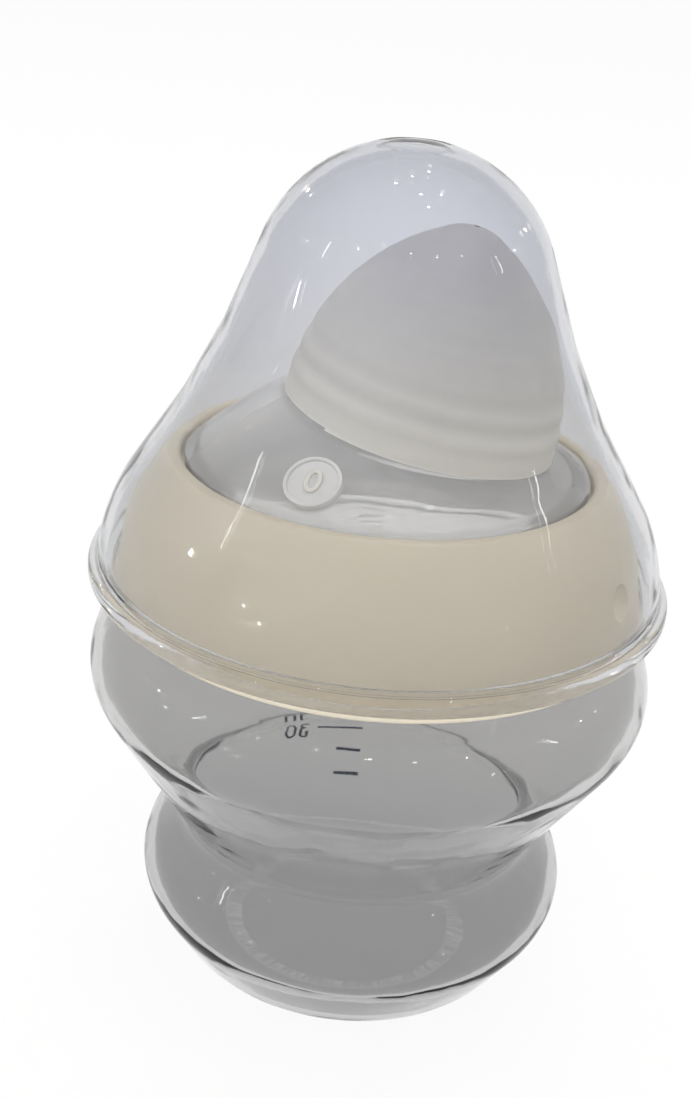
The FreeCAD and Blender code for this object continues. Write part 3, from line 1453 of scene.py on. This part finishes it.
@dataclass
class Studio:
    """White floor, soft light and the camera.

    Args:
        image: Width and height of the picture in pixels.
    """

    image: tuple[int, int] = (691, 1098)
    focal_px: float = 1400.0
    distance: float = 187.1 * MM
    aim_z: float = 61.2 * MM
    elevation: float = 24.6
    roll: float = 5.42
    pan: float = 1.38
    sensor: float = 36.0
    near: float = 10.0 * MM
    floor_size: float = 8.0
    floor_tone: float = 0.86
    floor_glow: float = 0.88
    world_strength: float = 0.9
    bulb: float = 22.0 * MM
    bulb_watts: float = 0.18
    bulb_tint: Colour = (1.0, 0.84, 0.62)
    softboxes: tuple[Lamp, ...] = (
        Lamp("top_softbox", (0.0, 0.5, 1.3), (1.6, 1.2), 1.6),
        Lamp("front_fill", (0.1, -1.1, 0.7), (1.2, 0.8), 3.4, shines=False),
        Lamp("left_strip", (-0.75, -0.25, 0.55), (0.016, 0.16), 0.30),
        Lamp("right_strip", (0.8, -0.1, 0.5), (0.016, 0.16), 0.28),
    )
    white_bulbs: tuple[Place, ...] = (
        (0.06, 0.02, 1.0), (0.24, 0.10, 0.95), (-0.14, 0.18, 1.0), (0.10, 0.42, 0.95), (0.16, -0.12, 1.0),
        (-0.85, 0.05, 0.50), (-0.90, -0.12, 0.36), (-0.70, -0.75, 0.20), (-0.85, -0.72, 0.30),
        (0.85, 0.20, 0.52), (0.75, -0.60, 0.30), (-0.25, -0.60, 0.80), (0.30, -0.62, 0.75),
        (-0.52, -0.50, 0.70),
    )
    warm_bulbs: tuple[Place, ...] = (
        (0.05, -0.70, 0.80), (0.52, -0.45, 0.70), (-0.02, 0.30, 1.0), (0.70, 0.55, 0.45),
        (-0.60, 0.65, 0.50),
    )

    def lamps(self) -> list[Lamp]:
        """Softboxes and the small bulbs that glint in the plastic.

        Returns:
            All the lamps.
        """
        size = (self.bulb, self.bulb)
        white = [Lamp(f"white_bulb_{k}", place, size, self.bulb_watts)
                 for k, place in enumerate(self.white_bulbs)]
        warm = [Lamp(f"warm_bulb_{k}", place, size, self.bulb_watts, tint=self.bulb_tint)
                for k, place in enumerate(self.warm_bulbs)]
        return [*self.softboxes, *white, *warm]

    def build_camera(self) -> None:
        """Camera at the photograph's viewing angle."""
        tilt, swing, turn = (math.radians(v) for v in (self.elevation, self.pan, self.roll))
        ahead = Vector((0, math.cos(tilt), -math.sin(tilt)))
        up = Vector((0, math.sin(tilt), math.cos(tilt)))
        right = Vector((1, 0, 0))
        place = Vector((0, 0, self.aim_z)) - ahead * self.distance
        look = ahead * math.cos(swing) - right * math.sin(swing)
        side = right * math.cos(swing) + ahead * math.sin(swing)
        across = side * math.cos(turn) + up * math.sin(turn)
        above = up * math.cos(turn) - side * math.sin(turn)
        camera = bpy.data.cameras.new("camera")
        camera.sensor_width = self.sensor
        camera.lens = self.sensor * self.focal_px / max(self.image)
        camera.clip_start = self.near
        obj = bpy.data.objects.new("camera", camera)
        bpy.context.scene.collection.objects.link(obj)
        frame = Matrix((across, above, -look)).transposed().to_4x4()
        obj.matrix_world = Matrix.Translation(place) @ frame
        bpy.context.scene.camera = obj

    def build_floor(self) -> None:
        """Wide white floor that keeps a soft shadow."""
        bpy.ops.object.select_all(action="DESELECT")
        bpy.ops.mesh.primitive_plane_add(size=self.floor_size, location=(0, 0, 0))
        floor = bpy.context.object
        floor.name = "floor"
        sketch = NodeSketch("white_floor")
        matt = sketch.add("BsdfDiffuse", {"Color": (self.floor_tone, self.floor_tone, self.floor_tone, 1.0)})
        glow = sketch.add("Emission", {"Color": (1.0, 1.0, 1.0, 1.0), "Strength": 1.0})
        seen = self.seen_directly(sketch)
        share = sketch.add("Math", {0: seen, 1: self.floor_glow}, operation="MULTIPLY").outputs["Value"]
        surface = sketch.either(share, matt.outputs["BSDF"], glow.outputs["Emission"])
        floor.data.materials.append(sketch.shade(surface))

    @staticmethod
    def seen_directly(sketch: NodeSketch) -> bpy.types.NodeSocket:
        """One where a surface is seen by the camera, in a reflection or through glass.

        Args:
            sketch: Material that asks.

        Returns:
            The value socket.
        """
        path = sketch.add("LightPath")
        either = sketch.add("Math", {0: path.outputs["Is Camera Ray"], 1: path.outputs["Is Glossy Ray"]},
                            operation="MAXIMUM")
        seen = sketch.add("Math", {0: either.outputs["Value"], 1: path.outputs["Is Transmission Ray"]},
                          operation="MAXIMUM")
        return seen.outputs["Value"]

    def build_world(self) -> None:
        """Even white surroundings."""
        world = bpy.data.worlds.new("studio")
        world.use_nodes = True
        background = world.node_tree.nodes["Background"]
        background.inputs["Color"].default_value = (1.0, 1.0, 1.0, 1.0)
        background.inputs["Strength"].default_value = self.world_strength
        bpy.context.scene.world = world

    def build(self) -> None:
        """Set up the whole studio."""
        self.build_floor()
        self.build_world()
        self.build_camera()
        for lamp in self.lamps():
            lamp.build(Vector((0, 0, self.aim_z)))
        bpy.context.scene.view_settings.view_transform = "Standard"


def span(node: str) -> tuple[float, float, float]:
    """Radius, lowest and highest point of a turned CAD piece.

    Args:
        node: Name of the piece.

    Returns:
        (radius, low z, high z) in metres.
    """
    low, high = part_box(node)
    return min(high[0], high[1], -low[0], -low[1]), low[2], high[2]


def main() -> None:
    """Build the pieces over the frame, dress them and set up the studio."""
    logging.basicConfig(level=logging.INFO)
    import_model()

    shoulder_r, _, rim_z = span("bottle")
    body = Body(shoulder_r, rim_z)
    body.dress(body.build(), body.build_thread())
    scale = VolumeScale(body)
    scale.dress(scale.build())

    ring = ScrewRing(*span("screw_ring"), neck_r=body.neck_r)
    ring.dress(ring.build(), ring.build_thread(body.thread_z()))

    flange_r, seat_z, _ = span("teat")
    teat = Teat(flange_r, seat_z, ring)
    teat.dress(teat.build(), teat.build_pad(), teat.build_figure())

    hood = Hood(*span("hood"))
    hood.dress(hood.build())

    Studio().build()


if __name__ == "__main__":
    main()
